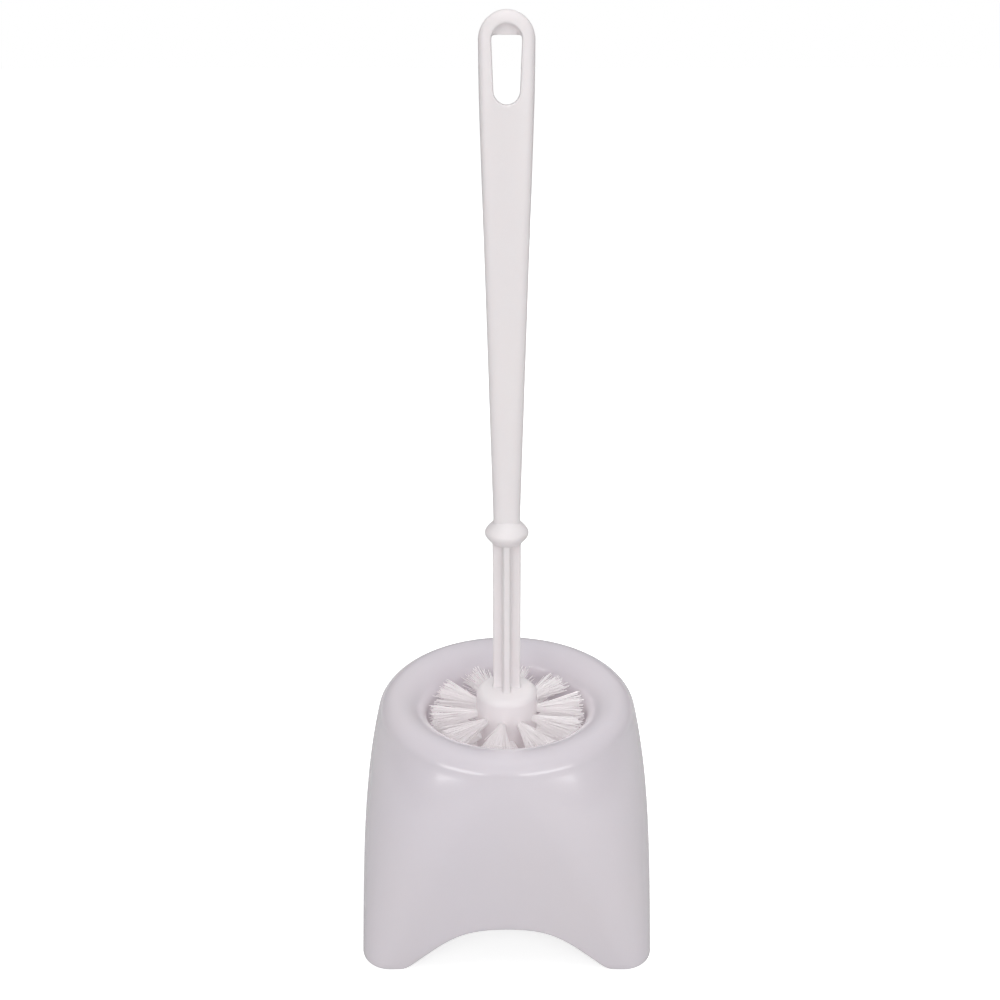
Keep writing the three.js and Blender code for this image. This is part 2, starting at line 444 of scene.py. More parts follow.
def join(name: str, parts: Sequence[bpy.types.Object]) -> bpy.types.Object:
    """Joins closed shells that are one moulding into one object.

    Args:
        name: The joined piece's name.
        parts: The shells; they are removed.

    Returns:
        The joined piece.
    """
    shape = bmesh.new()
    for part in parts:
        shape.from_mesh(part.data)
    mesh = bpy.data.meshes.new(name)
    shape.to_mesh(mesh)
    shape.free()
    for part in parts:
        bpy.data.objects.remove(part)
    mesh.shade_smooth()
    return new_object(name, mesh)


def settle(piece: bpy.types.Object, body: Body, nodes: Sequence[str]) -> None:
    """Ties a finished piece to its body and hides the CAD nodes it stands for.

    Args:
        piece: The finished piece.
        body: The body it moves with.
        nodes: The CAD nodes it stands for.
    """
    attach(piece, body.value)
    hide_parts(*nodes)
    LOG.info("%s: %d faces on %s", piece.name, len(piece.data.polygons), body.value)


# ---------------------------------------------------------------- holder


@dataclass
class HolderShell:
    """The holder: square-footed skirt, rolled rim and drip cup in one moulding."""

    wall: float = 2.4
    base_corner: float = 13.0
    crest_radius: float = 50.4
    shoulder_round: float = 8.6
    shoulder_start: float = 13.0
    side_power: float = 4.0
    opening_radius: float = 36.8
    inner_drop: float = 12.0
    cup_radius: float = 35.2
    cup_fillet: float = 6.0
    cup_floor: float = 23.5
    arch_height: float = 22.0
    arch_half: float = 44.5
    arch_pull: tuple[float, float] = (25.8, 20.7)
    arch_lift: float = 16.3
    arch_soft: float = 1.6
    arch_sink: float = 0.09
    edge_round: float = 0.8
    edge_turns: tuple[float, ...] = (30.0, 60.0, 90.0)
    least_corner: float = 1.0
    floor_rings: tuple[float, ...] = (3.0, 9.0, 16.0, 22.0, 26.5)
    under_rings: tuple[float, ...] = (24.0, 15.0, 7.0, 3.0)
    columns: int = 400
    outer_rows: int = 44
    inner_rows: int = 20
    edge_rounds: int = 6
    low: Vector = field(default_factory=lambda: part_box("holder_shell")[0] / MM)
    high: Vector = field(default_factory=lambda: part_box("holder_shell")[1] / MM)

    @property
    def half(self) -> float:
        """Half the width of the foot, from the frame."""
        return (self.high.x - self.low.x) / 2.0

    @property
    def top(self) -> float:
        """Height of the rim's crest, from the frame."""
        return self.high.z

    def side(self, z: np.ndarray) -> tuple[np.ndarray, np.ndarray]:
        """Half-width and corner radius of the skirt's outside.

        Args:
            z: Heights to read.

        Returns:
            The half-widths and the corner radii.
        """
        start = math.radians(self.shoulder_start)
        top_z = self.top - self.shoulder_round * (1.0 - math.sin(start))
        top_a = self.crest_radius + self.shoulder_round * math.cos(start)
        t = np.clip(z / top_z, 0.0, 1.0)
        width = self.half + (top_a - self.half) * t**self.side_power
        corner = self.base_corner + (top_a - self.base_corner) * t
        return width, np.minimum(width, corner)

    def section(self, width: np.ndarray, corner: np.ndarray, z: np.ndarray) -> np.ndarray:
        """Places one ring of columns on rounded squares, evenly along their outline.

        Args:
            width: Half-width for each column.
            corner: Corner radius for each column.
            z: Height for each column.

        Returns:
            The ring's points.
        """
        place = np.arange(self.columns) * 4.0 / self.columns
        quarter = np.floor(place).astype(int)
        flat = np.maximum(width - corner, 0.0)
        bend = np.maximum(corner, TINY) * QUARTER_TURN
        run = (place - quarter) * (2.0 * flat + bend)
        turn = np.clip((run - flat) / np.maximum(corner, TINY), 0.0, QUARTER_TURN)
        x = flat + corner * np.cos(turn) - np.maximum(run - flat - bend, 0.0)
        y = flat + corner * np.sin(turn) - np.maximum(flat - run, 0.0)
        spin = quarter * QUARTER_TURN
        cos, sin = np.cos(spin), np.sin(spin)
        return np.stack([x * cos - y * sin, x * sin + y * cos, z], 1)

    def arch(self, aside: np.ndarray) -> np.ndarray:
        """Height of the skirt's lower edge at a distance from the middle of a side.

        Args:
            aside: Distances from the middle of the side.

        Returns:
            The edge's heights.
        """
        t = np.linspace(0.0, 1.0, 200)
        s = 1.0 - t
        near, far = self.arch_pull
        x = self.arch_half * s**3 + 3 * near * s**2 * t + 3 * far * s * t**2
        z = 3 * self.arch_lift * s**2 * t + (3 * s * t**2 + t**3) * self.arch_height
        inside = np.interp(aside, x[::-1], z[::-1])
        height = np.where(aside > self.arch_half, self.arch_half - aside, inside)
        soft = 0.5 * (height + np.sqrt(height**2 + self.arch_soft**2)) - self.arch_sink
        return np.clip(soft, 0.0, self.arch_height)

    def lower_edge(self) -> np.ndarray:
        """Height of the lower edge at every column.

        Returns:
            One height for each column.
        """
        z = np.zeros(self.columns)
        for _ in range(self.edge_rounds):
            width, corner = self.side(z)
            ring = self.section(width, corner, z)
            z = self.arch(np.minimum(abs(ring[:, 0]), abs(ring[:, 1])))
        return z

    def rings(self) -> list[np.ndarray]:
        """Every ring from the cup's floor, over the rim, round the foot and back under the cup.

        Returns:
            The rings in order.
        """
        ones = np.ones(self.columns)
        out: list[np.ndarray] = []

        def turned(points: Sequence[tuple[float, float]]) -> None:
            """Adds round rings for a list of radius and height."""
            for r, z in points:
                out.append(self.section(r * ones, r * ones, z * ones))

        crest = self.crest_radius
        shoulder_z = self.top - self.shoulder_round
        lip = crest - self.opening_radius
        lip_z = self.top - self.inner_drop
        floor_r = self.cup_radius - self.cup_fillet
        turned([(r, self.cup_floor) for r in self.floor_rings])
        fillet = (self.cup_fillet, self.cup_fillet)
        turned(arc((floor_r, self.cup_floor + self.cup_fillet), fillet, -90, 0, 8))
        wall_z = np.linspace(self.cup_floor + self.cup_fillet, lip_z, 12)
        slope = (self.opening_radius - self.cup_radius) / (wall_z[-1] - wall_z[0])
        turned([(self.cup_radius + slope * (z - wall_z[0]), z) for z in wall_z[1:-1]])
        turned(arc((crest, lip_z), (lip, self.inner_drop), 180, 90, 18))
        rounding = (self.shoulder_round, self.shoulder_round)
        turned(arc((crest, shoulder_z), rounding, 90, self.shoulder_start, 12)[1:-1])

        edge = self.lower_edge()
        start = math.radians(self.shoulder_start)
        top_z = self.top - self.shoulder_round * (1.0 - math.sin(start))
        lowest = edge + self.edge_round

        def skirt(z: np.ndarray, inset: float) -> None:
            """Adds one ring of the skirt, set in from its outside.

            Args:
                z: Height of each column.
                inset: How far the ring lies inside the outer face.
            """
            width, corner = self.side(z)
            corner = np.maximum(corner - inset, self.least_corner)
            out.append(self.section(width - inset, corner, z))

        for t in np.linspace(1.0, 0.0, self.outer_rows):
            skirt(lowest + (top_z - lowest) * t, 0.0)
        turns = np.radians(self.edge_turns)
        for q in turns:
            skirt(lowest - self.edge_round * math.sin(q), self.edge_round * (1 - math.cos(q)))
        for q in turns[::-1]:
            inset = self.wall - self.edge_round * (1 - math.cos(q))
            skirt(lowest - self.edge_round * math.sin(q), inset)
        for t in np.linspace(0.0, 1.0, self.inner_rows):
            skirt(lowest + (top_z - lowest) * t, self.wall)

        thin = self.shoulder_round - self.wall
        turned(arc((crest, shoulder_z), (thin, thin), 30, 90, 6))
        under = (lip - self.wall, self.inner_drop - self.wall)
        turned(arc((crest, lip_z), under, 90, 180, 10)[1:])
        outside = self.cup_fillet + self.wall
        turned(arc((floor_r, self.cup_floor + self.cup_fillet), (outside, outside), 0, -90, 8))
        below = self.cup_floor - self.wall
        turned([(r, below) for r in self.under_rings])
        return out

    def build(self) -> bpy.types.Object:
        """Builds the shell.

        Returns:
            The finished shell.
        """
        rows = np.array(self.rings())
        first = (0.0, 0.0, self.cup_floor)
        last = (0.0, 0.0, self.cup_floor - self.wall)
        points, faces = capped_tube(rows, first, last)
        return mesh_object("holder_moulding", points, faces)

    def dress(self, piece: bpy.types.Object, finish: bpy.types.Material) -> None:
        """Gives the shell its finish and ties it to the frame."""
        piece.data.materials.append(finish)
        settle(piece, Body.HOLDER, ["holder_shell"])


# ---------------------------------------------------------------- brush moulding


@dataclass
class Grip:
    """The flat tapered grip with its hanging hole."""

    top_half: float = 10.65
    bottom_half: float = 5.6
    half_depth: float = 4.4
    straight: float = 28.0
    knee_soft: float = 0.002
    hole_half: float = 5.8
    hole_edge: float = 0.65
    hole_margin: float = 4.2
    hole_length: float = 29.6
    roof_height: float = 2.0
    roof_corner: float = 1.1
    roof_least: float = 0.05
    roof_blend: float = 4.0
    web: float = 0.22
    web_start: float = 0.1
    web_end: float = 0.9
    taper: float = 0.11
    foot_z: float = 182.0
    flare_start: float = 3.0
    flare_height: float = 5.0
    flare: float = 0.5
    oval_power: float = 2.3
    flat_power: float = 1.1
    oval_height: float = 20.0
    blend_margin: float = 60.0
    neck_height: float = 14.0
    edge_turns: tuple[float, ...] = (0.0, 22.0, 45.0, 68.0, 90.0)
    across: int = 44
    outline_steps: int = 401
    neck_rows: int = 16
    shaft_rows: int = 70
    turn_rows: int = 16
    slot_rows: int = 14
    wall_rows: int = 5
    fan_rows: int = 30
    top: float = field(default_factory=lambda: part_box("brush_handle")[1].z / MM)

    @property
    def dome(self) -> float:
        """Height of the centre of the rounded top."""
        return self.top - self.top_half

    @property
    def face_half(self) -> float:
        """Half-width of the hole where it meets the face."""
        return self.hole_half + self.hole_edge

    @property
    def hole_low(self) -> float:
        """Height of the centre of the hole's lower end."""
        return self.top - self.hole_margin - self.hole_length + self.narrow_half

    @property
    def narrow_half(self) -> float:
        """Half-width of the hole's lower end where it meets the face."""
        return self.face_half * (1.0 - self.taper)

    def half_width(self, z: float) -> float:
        """Half-width of the grip at a height below its rounded top.

        Args:
            z: The height.

        Returns:
            The half-width.
        """
        knee = self.top - self.straight
        t = (knee - z) / (knee - self.foot_z)
        soft = 0.5 * (t + math.sqrt(t * t + self.knee_soft))
        width = self.top_half + (self.bottom_half - self.top_half) * soft
        return width + self.flared(z)

    def flared(self, z: float) -> float:
        """How far the grip flares out into the collar at a height."""
        t = 1.0 - (z - self.foot_z - self.flare_start) / self.flare_height
        return self.flare * min(1.0, max(0.0, t)) ** 3

    def squareness(self, z: float) -> float:
        """Exponent of the cross-section: flat-faced at the top, oval at the bottom.

        Args:
            z: The height.

        Returns:
            The exponent.
        """
        span = self.dome - self.foot_z - self.blend_margin
        t = float(ease((z - self.foot_z - self.oval_height) / span))
        return self.oval_power + self.flat_power * t

    def stations(self) -> list[tuple[tuple[float, float], tuple[float, float], tuple]]:
        """Rows of the right half: inner point, outer point and the hole's direction there.

        Returns:
            For each row the inner (x, z), the outer (x, z) and the hole's outward direction,
            which is None where there is no hole.
        """
        rows: list = []
        neck_z, hole_bottom = self.foot_z + self.neck_height, self.hole_low - self.narrow_half
        solid = np.concatenate(
            [np.linspace(self.foot_z, neck_z, self.neck_rows)[:-1],
             np.linspace(neck_z, hole_bottom, self.shaft_rows)[:-1]]
        )
        for z in solid:
            rows.append(((0.0, z), (self.half_width(z), z), None))
        for q in np.radians(np.linspace(-90.0, 0.0, self.turn_rows)):
            z = self.hole_low + self.narrow_half * math.sin(q)
            inner = (self.narrow_half * math.cos(q), z)
            rows.append((inner, (self.half_width(z), z), (math.cos(q), math.sin(q))))
        for z in np.linspace(self.hole_low, self.dome, self.slot_rows)[1:-1]:
            share = (z - self.hole_low) / (self.dome - self.hole_low)
            inner_x = self.narrow_half + (self.face_half - self.narrow_half) * share
            rows.append(((inner_x, z), (self.half_width(z), z), (1.0, 0.0)))
        for q in np.radians(np.linspace(0.0, 90.0, self.fan_rows)):
            way = (math.cos(q), math.sin(q))
            inner = (self.face_half * way[0], self.dome + self.face_half * way[1])
            outer = (self.top_half * way[0], self.dome + self.top_half * way[1])
            rows.append((inner, outer, way))
        return rows

    def crossing(self, inner: tuple, outer: tuple, in_dome: bool) -> np.ndarray:
        """One row of the skin, from the front's inner edge round the side to the back's.

        Args:
            inner: Inner (x, z) of the row.
            outer: Outer (x, z) of the row.
            in_dome: Whether the row fans round the rounded top.

        Returns:
            The row's points.
        """
        centre = (0.0, self.dome) if in_dome else (0.0, outer[1])
        reach = math.hypot(outer[0] - centre[0], outer[1] - centre[1])
        near = math.hypot(inner[0] - centre[0], inner[1] - centre[1])
        way = ((outer[0] - centre[0]) / reach, (outer[1] - centre[1]) / reach)
        power = self.squareness(outer[1])
        depth = self.depth(outer[1])
        limit = math.acos(min(1.0, (near / reach)) ** (power / 2.0))
        fine = np.linspace(-limit, limit, self.outline_steps)
        rho = reach * np.abs(np.cos(fine)) ** (2.0 / power)
        y = depth * np.sign(fine) * np.abs(np.sin(fine)) ** (2.0 / power)
        length = np.concatenate([[0.0], np.cumsum(np.hypot(np.diff(rho), np.diff(y)))])
        even = np.linspace(0.0, length[-1], self.across)
        rho, y = np.interp(even, length, rho), np.interp(even, length, y)
        return np.stack([centre[0] + rho * way[0], y, centre[1] + rho * way[1]], 1)

    def depth(self, z: float) -> float:
        """Half the grip's depth at a height."""
        return self.half_depth + self.flared(z)

    def hole_row(self, inner: tuple, way: tuple, front_y: float) -> np.ndarray:
        """The hole's wall from the front face to the back face.

        Args:
            inner: The hole's (x, z) at the face.
            way: The hole's outward direction there.
            front_y: How far the face is from the middle plane.

        Returns:
            The row's points.
        """
        soft = np.radians(self.edge_turns)
        inset = self.hole_edge * np.sin(soft)
        drop = front_y - self.hole_edge * (1.0 - np.cos(soft))
        mid = np.linspace(drop[-1], 0.0, self.wall_rows + 1)[1:]
        inset = np.concatenate([inset, np.full(self.wall_rows, self.hole_edge)])
        drop = np.concatenate([drop, mid])
        reached = 1.0 - drop / front_y - self.web_start
        inward = np.clip(reached / (self.web_end - self.web), 0.0, 1.0)
        inset = inset + self.roof_drop(way) * (1.0 - np.sqrt(1.0 - inward**2))
        inset = np.concatenate([inset, inset[-2::-1]])
        y = np.concatenate([-drop, drop[-2::-1]])
        return np.stack([inner[0] - way[0] * inset, y, inner[1] - way[1] * inset], 1)

    def roof_drop(self, way: tuple) -> float:
        """How far the web under the hole's rounded top reaches in, which leaves it a flat top.

        Args:
            way: The hole's outward direction.

        Returns:
            The distance from the hole's plain wall.
        """
        if way[1] <= 0.0:
            return 0.0
        over = self.hole_half - self.roof_height / max(way[1], self.roof_least)
        soft = 0.5 * (over + math.hypot(over, self.roof_corner))
        return soft * min(1.0, way[1] * self.roof_blend)

    def build(self) -> bpy.types.Object:
        """Builds the grip as a closed shell.

        Returns:
            The grip.
        """
        rows = self.stations()
        skin, holes = [], []
        fan_from = len(rows) - self.fan_rows
        for i, (inner, outer, way) in enumerate(rows):
            line = self.crossing(inner, outer, i >= fan_from)
            skin.append(line)
            if way is not None:
                holes.append(self.hole_row((line[0, 0], line[0, 2]), way, -line[0, 1]))
        points: list = []
        faces: list = []
        for sheet in (np.array(skin), np.array(holes)):
            for flip in (1.0, -1.0):
                start = len(points)
                count, wide, _ = sheet.shape
                points.extend((sheet * np.array([flip, 1.0, 1.0])).reshape(-1, 3))
                for i in range(count - 1):
                    for j in range(wide - 1):
                        a = start + i * wide + j
                        faces.append((a, a + 1, a + wide + 1, a + wide))
        across, other = self.across, len(skin) * self.across
        foot_right = list(range(other, other + across))
        faces.append(tuple(list(range(across)) + foot_right[::-1][1:-1]))
        return mesh_object("grip", np.array(points), faces)


@dataclass
class Stem:
    """The cross-ribbed stem between collar and core."""

    half: float = 6.2
    rib: float = 1.5
    nose: float = 0.9
    nook: float = 1.3
    low: float = 102.0
    high: float = 181.0
    foot_z: float = 105.0
    head_z: float = 178.0
    fillet: float = 0.5
    fillet_height: float = 4.0
    nose_growth: float = 0.5
    nose_limit: float = 0.95
    nook_growth: float = 0.3
    nook_least: float = 0.2
    corner_steps: int = 5
    end_rows: int = 14
    shaft_rows: int = 20

    def outline(self, grow: float) -> np.ndarray:
        """The cross-shaped section with rounded corners, grown outward by an offset.

        Args:
            grow: How far the outline is moved outward.

        Returns:
            The outline's points.
        """
        h, t = self.half + grow, self.rib + grow
        nose = min(self.nose + grow * self.nose_growth, t * self.nose_limit)
        nook = max(self.nook - grow * self.nook_growth, self.nook_least)
        steps = self.corner_steps
        points: list = []
        for k in range(4):
            base = QUARTER_TURN * k
            corner: list = []
            corner += arc((h - nose, -t + nose), (nose, nose), -90, 0, steps)
            corner += arc((h - nose, t - nose), (nose, nose), 0, 90, steps)
            corner += arc((t + nook, t + nook), (nook, nook), 270, 180, steps)
            cos, sin = math.cos(base), math.sin(base)
            points += [(x * cos - y * sin, x * sin + y * cos) for x, y in corner]
        return np.array(points)

    def build(self) -> bpy.types.Object:
        """Builds the stem, flared where it runs into the collar and the core.

        Returns:
            The stem.
        """
        reach = self.fillet_height
        heights = np.concatenate(
            [np.linspace(self.low, self.foot_z + reach, self.end_rows)[:-1],
             np.linspace(self.foot_z + reach, self.head_z - reach, self.shaft_rows)[:-1],
             np.linspace(self.head_z - reach, self.high, self.end_rows)]
        )
        rows = []
        for z in heights:
            from_foot = np.clip(1.0 - (z - self.foot_z) / reach, 0.0, 1.0)
            from_head = np.clip(1.0 - (self.head_z - z) / reach, 0.0, 1.0)
            grow = self.fillet * from_foot**3 + self.fillet * from_head**3
            ring = self.outline(float(grow))
            rows.append(np.column_stack([ring, np.full(len(ring), z)]))
        points, faces = capped_tube(
            np.array(rows), (0.0, 0.0, self.low), (0.0, 0.0, self.high)
        )
        return mesh_object("stem", points, faces)


@dataclass
class Collar:
    """The lens-shaped collar under the grip."""

    radius: float = 9.5
    half: float = 7.4
    centre: float = 181.7
    power: float = 1.3
    tip_round: float = 0.9
    cut: float = 4.9
    foot_inset: float = 0.5
    foot_gap: float = 0.35
    tip_gap: float = 0.4
    rows: int = 48
    columns: int = 96

    def width(self, z: float) -> float:
        """Radius of the collar at a height from its middle, its edge a little rounded.

        Args:
            z: The height from the middle.

        Returns:
            The radius.
        """
        away = math.hypot(z, self.tip_round) - self.tip_round
        share = max(0.0, 1.0 - (away / self.half) ** self.power)
        return self.radius * share ** (1.0 / self.power)

    def build(self) -> bpy.types.Object:
        """Builds the collar.

        Returns:
            The collar.
        """
        foot = self.centre - self.cut
        heights = np.linspace(-self.cut + self.foot_gap, self.half - self.tip_gap, self.rows)
        profile = [(0.0, foot), (self.width(self.cut) - self.foot_inset, foot)]
        profile += [(self.width(z), self.centre + z) for z in heights]
        profile.append((0.0, self.centre + self.half))
        points, faces = lathe(profile, self.columns)
        return mesh_object("collar", points, faces)


@dataclass(frozen=True)
class TuftPlace:
    """One tuft: where it leaves the core, which way it points and how it fans."""

    root: tuple[float, float, float]
    away: tuple[float, float, float]
    side: tuple[float, float, float]
    rise: tuple[float, float, float]
    reach: float
    fan_side: float
    fan_rise: float


@dataclass
class Core:
    """The domed core that the tufts are stapled into."""

    radius: float = 13.9
    top: float = 105.5
    shoulder: float = 3.4
    bottom: float = 42.0
    end_height: float = 8.0
    hole_radius: float = 1.9
    hole_depth: float = 3.6
    hole_nose: float = 0.4
    hole_mouth: float = 1.6
    crown: float = 1.0
    crown_shape: tuple[tuple[float, float], ...] = ((0.6, 0.36), (0.25, 0.06), (0.0, 0.0))
    end_rows: int = 18
    side_rows: int = 16
    shoulder_rows: int = 12
    drill_sides: int = 14
    columns: int = 128

    def build(self, places: Sequence[TuftPlace]) -> bpy.types.Object:
        """Builds the core with a blind hole for every tuft.

        Args:
            places: Where the tufts go in.

        Returns:
            The core.
        """
        end_z = self.bottom + self.end_height
        shoulder_z = self.top - self.crown - self.shoulder
        profile: list = [(0.0, self.bottom)]
        profile += arc((0.0, end_z), (self.radius, self.end_height), -86, 0, self.end_rows)
        side = np.linspace(end_z, shoulder_z, self.side_rows)[1:-1]
        profile += [(self.radius, z) for z in side]
        rim, bend = self.radius - self.shoulder, (self.shoulder, self.shoulder)
        profile += arc((rim, shoulder_z), bend, 0, 90, self.shoulder_rows)
        profile += [(rim * share, self.top - drop) for share, drop in self.crown_shape]
        points, faces = lathe(profile, self.columns)
        body = mesh_object("core", points, faces)
        drill = self.drills(places)
        cut = body.modifiers.new("tuft_holes", "BOOLEAN")
        cut.operation = "DIFFERENCE"
        cut.solver = "EXACT"
        cut.object = drill
        bake(body)
        bpy.data.objects.remove(drill)
        return body

    def drills(self, places: Sequence[TuftPlace]) -> bpy.types.Object:
        """Makes one mesh of cutters, a short round-nosed bar for each tuft.

        Args:
            places: Where the tufts go in.

        Returns:
            The cutters.
        """
        points: list = []
        faces: list = []
        turn = np.linspace(0.0, FULL_TURN, self.drill_sides, endpoint=False)
        bar = ((-self.hole_depth, 0.8), (-0.5, 1.0), (0.15, 1.06), (self.hole_mouth, 1.3))
        for place in places:
            root, away = np.array(place.root), np.array(place.away)
            side, rise = np.array(place.side), np.array(place.rise)
            rings = []
            for along, wide in bar:
                r = self.hole_radius * wide
                rings.append(
                    root + away * along
                    + r * np.outer(np.cos(turn), side) + r * np.outer(np.sin(turn), rise)
                )
            low = root - away * (self.hole_depth + self.hole_nose)
            high = root + away * self.hole_mouth
            ring_points, ring_faces = capped_tube(np.array(rings), low, high)
            base = len(points)
            points.extend(ring_points)
            faces.extend([tuple(base + i for i in f) for f in ring_faces])
        return mesh_object("drills", np.array(points), faces)


@dataclass
class BrushMoulding:
    """Grip, collar, stem and core, moulded in one."""

    grip: Grip = field(default_factory=Grip)
    collar: Collar = field(default_factory=Collar)
    stem: Stem = field(default_factory=Stem)
    core: Core = field(default_factory=Core)
    sharp_angle: float = 42.0

    def build(self, places: Sequence[TuftPlace]) -> bpy.types.Object:
        """Builds the moulding.

        Args:
            places: Where the tufts go in.

        Returns:
            The moulding as one piece.
        """
        shells = [part.build() for part in (self.grip, self.collar, self.stem)]
        piece = join("brush_moulding", [*shells, self.core.build(places)])
        piece.data.set_sharp_from_angle(angle=math.radians(self.sharp_angle))
        return piece

    def dress(self, piece: bpy.types.Object, finish: bpy.types.Material) -> None:
        """Gives the moulding its finish and ties it to the frame."""
        piece.data.materials.append(finish)
        settle(piece, Body.BRUSH, ["brush_handle"])


# ---------------------------------------------------------------- bristles


@dataclass
class TuftLayout:
    """Where the tufts sit: staggered rings round the core and a cluster under it."""

    rings: int = 5
    per_ring: int = 10
    top_ring: float = 92.0
    pitch: float = 9.5
    phase: float = -9.0
    core_radius: float = 13.9
    head_radius: float = 35.0
    end_tufts: int = 6
    end_tilt: float = 38.0
    end_start: float = 8.0
    core_bottom: float = 42.0
    core_end: float = 8.0
    floor: float = 23.9
    ring_fan: tuple[float, float] = (7.6, 5.2)
    end_fan: tuple[float, float] = (6.0, 5.0)
    centre_fan: tuple[float, float] = (5.2, 5.2)

    def ring(self, number: int) -> list[TuftPlace]:
        """The tufts of one ring, the top ring being number 0.

        Args:
            number: Which ring.

        Returns:
            Its tufts.
        """
        phase = self.phase if number % 2 == 0 else -self.phase
        z = self.top_ring - number * self.pitch
        places = []
        for k in range(self.per_ring):
            turn = math.radians(phase + k * 360.0 / self.per_ring)
            away = (math.sin(turn), -math.cos(turn), 0.0)
            root = (self.core_radius * away[0], self.core_radius * away[1], z)
            side = (math.cos(turn), math.sin(turn), 0.0)
            reach = self.head_radius - self.core_radius
            places.append(TuftPlace(root, away, side, (0.0, 0.0, 1.0), reach, *self.ring_fan))
        return places

    def end(self) -> list[TuftPlace]:
        """The tufts under the core, splayed towards the cup's floor.

        Returns:
            The end tufts, the middle one last.
        """
        tilt = math.radians(self.end_tilt)
        sink = 1.0 - math.sqrt(1.0 - (self.end_start / self.core_radius) ** 2)
        start_z = self.core_bottom + self.core_end * sink
        places = []
        for k in range(self.end_tufts):
            turn = math.radians((k + 0.5) * 360.0 / self.end_tufts)
            out = (math.sin(turn), -math.cos(turn))
            away = (out[0] * math.sin(tilt), out[1] * math.sin(tilt), -math.cos(tilt))
            side = (math.cos(turn), math.sin(turn), 0.0)
            rise = (out[0] * math.cos(tilt), out[1] * math.cos(tilt), math.sin(tilt))
            root = (out[0] * self.end_start, out[1] * self.end_start, start_z)
            reach = (start_z - self.floor) / math.cos(tilt)
            places.append(TuftPlace(root, away, side, rise, reach, *self.end_fan))
        middle = (0.0, 0.0, self.core_bottom)
        down, right, back = (0.0, 0.0, -1.0), (1.0, 0.0, 0.0), (0.0, 1.0, 0.0)
        reach = self.core_bottom - self.floor
        places.append(TuftPlace(middle, down, right, back, reach, *self.centre_fan))
        return places

    def every(self) -> list[TuftPlace]:
        """All tufts, ring by ring from the top, then the end tufts."""
        return [p for n in range(self.rings) for p in self.ring(n)] + self.end()


@dataclass
class BristleField:
    """Grows fans of filaments from tuft places with Geometry Nodes."""

    filament_radius: float = 0.185
    root_radius: float = 1.35
    bend: float = 1.1
    uneven: float = 1.3
    steps: int = 6
    profile_sides: int = 3

    def seeds(self, name: str, places: Sequence[TuftPlace]) -> bpy.types.Object:
        """A point for each tuft, with its directions and sizes as attributes.

        Args:
            name: The piece's name.
            places: The tufts.

        Returns:
            The object that holds the points.
        """
        mesh = bpy.data.meshes.new(name)
        mesh.from_pydata([tuple(np.array(p.root) * MM) for p in places], [], [])
        for title in ("away", "side", "rise"):
            layer = mesh.attributes.new(title, "FLOAT_VECTOR", "POINT")
            layer.data.foreach_set("vector", np.ravel([getattr(p, title) for p in places]))
        for title in ("reach", "fan_side", "fan_rise"):
            layer = mesh.attributes.new(title, "FLOAT", "POINT")
            layer.data.foreach_set("value", np.array([getattr(p, title) for p in places]) * MM)
        return new_object(name, mesh)

    def tree(self, name: str) -> bpy.types.NodeTree:
        """Builds the tree that turns tuft points into fans of filaments.

        Args:
            name: The tree's name.

        Returns:
            The node tree.
        """
        tree = bpy.data.node_groups.new(name, "GeometryNodeTree")
        face = tree.interface
        face.new_socket("Geometry", in_out="INPUT", socket_type="NodeSocketGeometry")
        for title, kind in (
            ("Filaments", "NodeSocketInt"), ("Filament Radius", "NodeSocketFloat"),
            ("Root Radius", "NodeSocketFloat"), ("Bend", "NodeSocketFloat"),
            ("Uneven", "NodeSocketFloat"), ("Floor", "NodeSocketFloat"),
            ("Seed", "NodeSocketInt"), ("Finish", "NodeSocketMaterial"),
        ):
            face.new_socket(title, in_out="INPUT", socket_type=kind)
        face.new_socket("Geometry", in_out="OUTPUT", socket_type="NodeSocketGeometry")
        NodeWeaver(tree).weave(self.steps, self.profile_sides)
        return tree

    def grow(
        self, name: str, places: Sequence[TuftPlace], count: int, floor: float, seed: int,
        finish: bpy.types.Material,
    ) -> bpy.types.Object:
        """Grows the filaments of some tufts and leaves them as a plain mesh.

        Args:
            name: The piece's name.
            places: The tufts.
            count: Filaments in each tuft.
            floor: Height that no filament goes below.
            seed: The seed of the random draws.
            finish: The filament material.

        Returns:
            The finished piece.
        """
        piece = self.seeds(name, places)
        tree = self.tree(name + "_growth")
        growth = piece.modifiers.new("growth", "NODES")
        growth.node_group = tree
        wanted = {
            "Filaments": count, "Filament Radius": self.filament_radius * MM,
            "Root Radius": self.root_radius * MM, "Bend": self.bend * MM,
            "Uneven": self.uneven * MM, "Floor": floor * MM, "Seed": seed, "Finish": finish,
        }
        for item in tree.interface.items_tree:
            if item.in_out == "INPUT" and item.name in wanted:
                growth[item.identifier] = wanted[item.name]
        bake(piece)
        piece.data.name = name
        piece.data.shade_smooth()
        return piece


